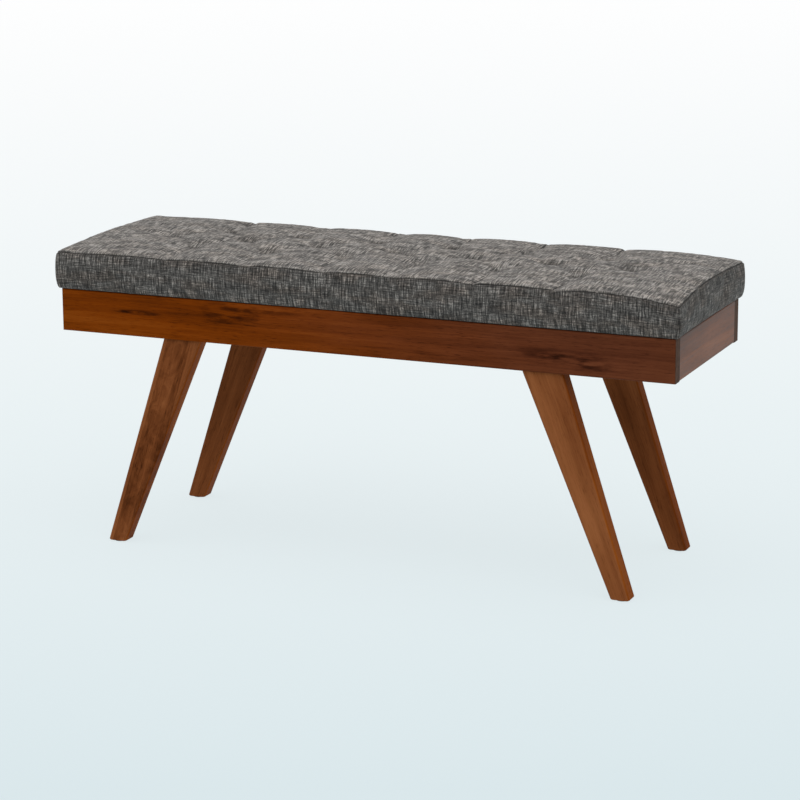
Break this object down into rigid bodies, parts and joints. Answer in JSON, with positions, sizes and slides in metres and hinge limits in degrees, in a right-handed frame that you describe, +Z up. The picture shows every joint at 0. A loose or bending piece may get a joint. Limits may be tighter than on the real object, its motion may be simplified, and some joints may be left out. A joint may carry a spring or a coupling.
{
  "type": "upholstered bench",
  "caption": "Long low bench with splayed tapered wooden legs, a box apron and a thick seat cushion in woven fabric, tufted in diamonds without buttons.",
  "frame": {"origin": "on the floor, under the middle of the bench", "axes": "+X along the bench to the right as seen from its front, -Y to its front, +Z up"},
  "size_m": [1.058, 0.342, 0.49],
  "materials": {
    "apron_wood": "satin",
    "leg_wood": "satin",
    "inner_wood": "matte",
    "plywood": "matte",
    "dowel_wood": "matte",
    "zinc_steel": "satin",
    "insert_metal": "satin",
    "screw_steel": "satin",
    "glide_plastic": "matte",
    "seat_fabric": "matte",
    "dust_fabric": "matte",
    "foam": "matte",
    "wadding": "matte",
    "twine": "matte"
  },
  "bodies": {
    "root": {"front_apron": "apron_wood", "back_apron": "apron_wood", "left_end_apron": "apron_wood", "right_end_apron": "apron_wood", "front_left_leg": "leg_wood", "front_right_leg": "leg_wood", "back_left_leg": "leg_wood", "back_right_leg": "leg_wood", "left_leg_rail": "inner_wood", "right_leg_rail": "inner_wood", "front_seat_cleat": "inner_wood", "back_seat_cleat": "inner_wood", "front_left_corner_block": "inner_wood", "front_right_corner_block": "inner_wood", "back_left_corner_block": "inner_wood", "back_right_corner_block": "inner_wood", "seat_board": "plywood", "apron_dowels": "dowel_wood", "leg_rail_dowels": "dowel_wood", "leg_bolts": "zinc_steel", "leg_bolt_washers": "zinc_steel", "glide_nails": "zinc_steel", "cover_staples": "zinc_steel", "tuft_washers": "zinc_steel", "leg_bolt_inserts": "insert_metal", "cleat_screws": "screw_steel", "corner_block_screws": "screw_steel", "seat_screws": "screw_steel", "front_left_glide": "glide_plastic", "front_right_glide": "glide_plastic", "back_left_glide": "glide_plastic", "back_right_glide": "glide_plastic", "cover_top_panel": "seat_fabric", "cover_front_boxing": "seat_fabric", "cover_back_boxing": "seat_fabric", "cover_left_boxing": "seat_fabric", "cover_right_boxing": "seat_fabric", "dust_cover": "dust_fabric", "foam_pad": "foam", "wadding_sheet": "wadding", "tuft_twines": "twine"}
  },
  "joints": []
}
